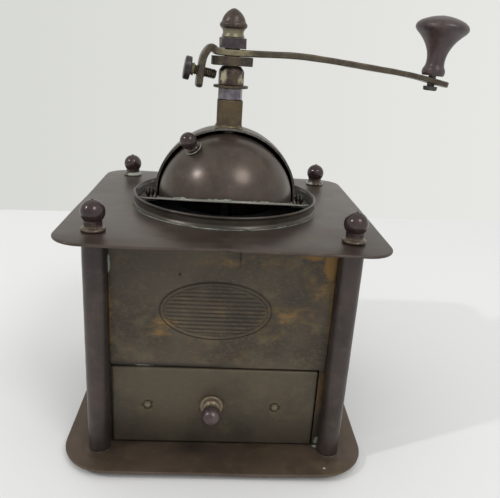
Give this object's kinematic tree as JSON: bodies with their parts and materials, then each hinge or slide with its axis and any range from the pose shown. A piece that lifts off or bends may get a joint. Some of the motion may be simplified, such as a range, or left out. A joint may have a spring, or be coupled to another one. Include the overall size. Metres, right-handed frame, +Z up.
{
  "type": "manual coffee grinder",
  "caption": "Square box mill of patinated brass with pillars, a domed hopper with a hinged front lid, a top crank with a turned grip, a burr mechanism and a drawer below",
  "frame": {"origin": "on the ground, at the middle of the bounding box in X and Y; the spindle's axis stands 23.4 mm to the left of it, because the crank reaches out to the right", "axes": "+Z up along the spindle, -Y is the front with the drawer and the lid, +X is the side to which the crank points at rest"},
  "size_m": [0.1999, 0.153, 0.2234],
  "materials": {
    "top_sheet": "warm grey-brown patina with a soft sheen, rubbed on the edges",
    "base_sheet": "dark brown patina",
    "panel_brass": "olive-brown patina with ochre stains",
    "pillar_brass": "purplish brown-grey patina",
    "ball_brass": "dark plum-brown patina, polished by handling",
    "dome_brass": "dark grey patina, pale verdigris at the seams",
    "post_brass": "olive brass patina, worn on the edges",
    "bare_brass": "brass-grey, lightly tarnished",
    "nut_steel": "bright grey steel, scuffed",
    "iron": "dark bare iron and steel",
    "grip_wood": "dark stained turned wood, smooth"
  },
  "bodies": {
    "root": {"base_plate": "base_sheet", "top_plate": "top_sheet", "tie_bolt_front_left": "bare_brass", "pillar_front_left": "pillar_brass", "finial_front_left": "ball_brass", "tie_bolt_front_right": "bare_brass", "pillar_front_right": "pillar_brass", "finial_front_right": "ball_brass", "tie_bolt_rear_left": "bare_brass", "pillar_rear_left": "pillar_brass", "finial_rear_left": "ball_brass", "tie_bolt_rear_right": "bare_brass", "pillar_rear_right": "pillar_brass", "finial_rear_right": "ball_brass", "side_wall_left": "panel_brass", "side_wall_right": "panel_brass", "rear_wall": "panel_brass", "front_panel": "panel_brass", "deck": "panel_brass", "drawer_rail_left": "iron", "drawer_rail_right": "iron", "hopper_collar": "dome_brass", "rear_dome": "dome_brass", "brim_screw_left": "ball_brass", "brim_screw_right": "ball_brass", "lid_rivet_left": "ball_brass", "lid_rivet_right": "ball_brass", "bearing_post": "post_brass", "post_nut": "nut_steel", "hopper_funnel": "panel_brass", "upper_bridge": "iron", "burr_housing": "iron", "housing_screw_1": "iron", "housing_screw_2": "iron", "housing_screw_3": "iron", "lower_bridge": "iron", "lift_spring": "iron"},
    "drawer": {"drawer_front": "panel_brass", "drawer_tray": "panel_brass", "drawer_knob_washer": "post_brass", "drawer_knob": "ball_brass", "drawer_rivet_left": "post_brass", "drawer_rivet_right": "post_brass"},
    "lid": {"hopper_lid": "dome_brass", "lid_knob": "ball_brass"},
    "drive": {"thrust_washer": "bare_brass"},
    "spindle_and_crank": {"spindle": "iron", "burr_cone": "iron", "burr_nut": "iron", "crank_boss": "post_brass", "crank_arm": "post_brass", "lock_nut": "post_brass", "acorn_nut": "ball_brass", "grip_pin": "iron"},
    "adjuster": {"adjusting_nut": "post_brass"},
    "grip": {"grip_knob": "grip_wood"},
    "clamp_shank": {"thumb_screw_shank": "post_brass"},
    "clamp_head": {"thumb_screw_head": "ball_brass"}
  },
  "joints": [
    {"name": "drawer_slide", "type": "slide", "parent": "root", "child": "drawer", "axis": [0, -1, 0], "range_m": [0, 0.085]},
    {"name": "lid_hinge", "type": "hinge", "parent": "root", "child": "lid", "pos_m": [-0.0234, 0, 0.1247], "axis": [-1, 0, 0], "range_deg": [-14.5, 3.5]},
    {"name": "crank_spin", "type": "hinge", "parent": "root", "child": "drive", "pos_m": [-0.0234, 0, 0.1817], "axis": [0, 0, 1], "continuous": true},
    {"name": "nut_turn", "type": "hinge", "parent": "drive", "child": "adjuster", "pos_m": [-0.0234, 0, 0.1867], "axis": [0, 0, 1], "range_deg": [0, 360]},
    {"name": "grind_lift", "type": "slide", "parent": "drive", "child": "spindle_and_crank", "axis": [0, 0, 1], "range_m": [0, 0.00125], "deforming": ["lift_spring"]},
    {"name": "grip_spin", "type": "hinge", "parent": "spindle_and_crank", "child": "grip", "pos_m": [0.08493, 0.0133, 0.19316], "axis": [0.0519, 0.0064, 0.9986], "continuous": true},
    {"name": "clamp_travel", "type": "slide", "parent": "spindle_and_crank", "child": "clamp_shank", "axis": [0.9775, 0.12, -0.1736], "range_m": [-0.002, 0.001]},
    {"name": "clamp_turn", "type": "hinge", "parent": "clamp_shank", "child": "clamp_head", "pos_m": [-0.03117, -0.00095, 0.1873], "axis": [0.9775, 0.12, -0.1736], "range_deg": [-720, 360]}
  ],
  "couplings": [
    {"joint": "nut_turn", "follows": "grind_lift", "rad_per_m": 5026.5},
    {"joint": "clamp_turn", "follows": "clamp_travel", "rad_per_m": 6283.2}
  ]
}
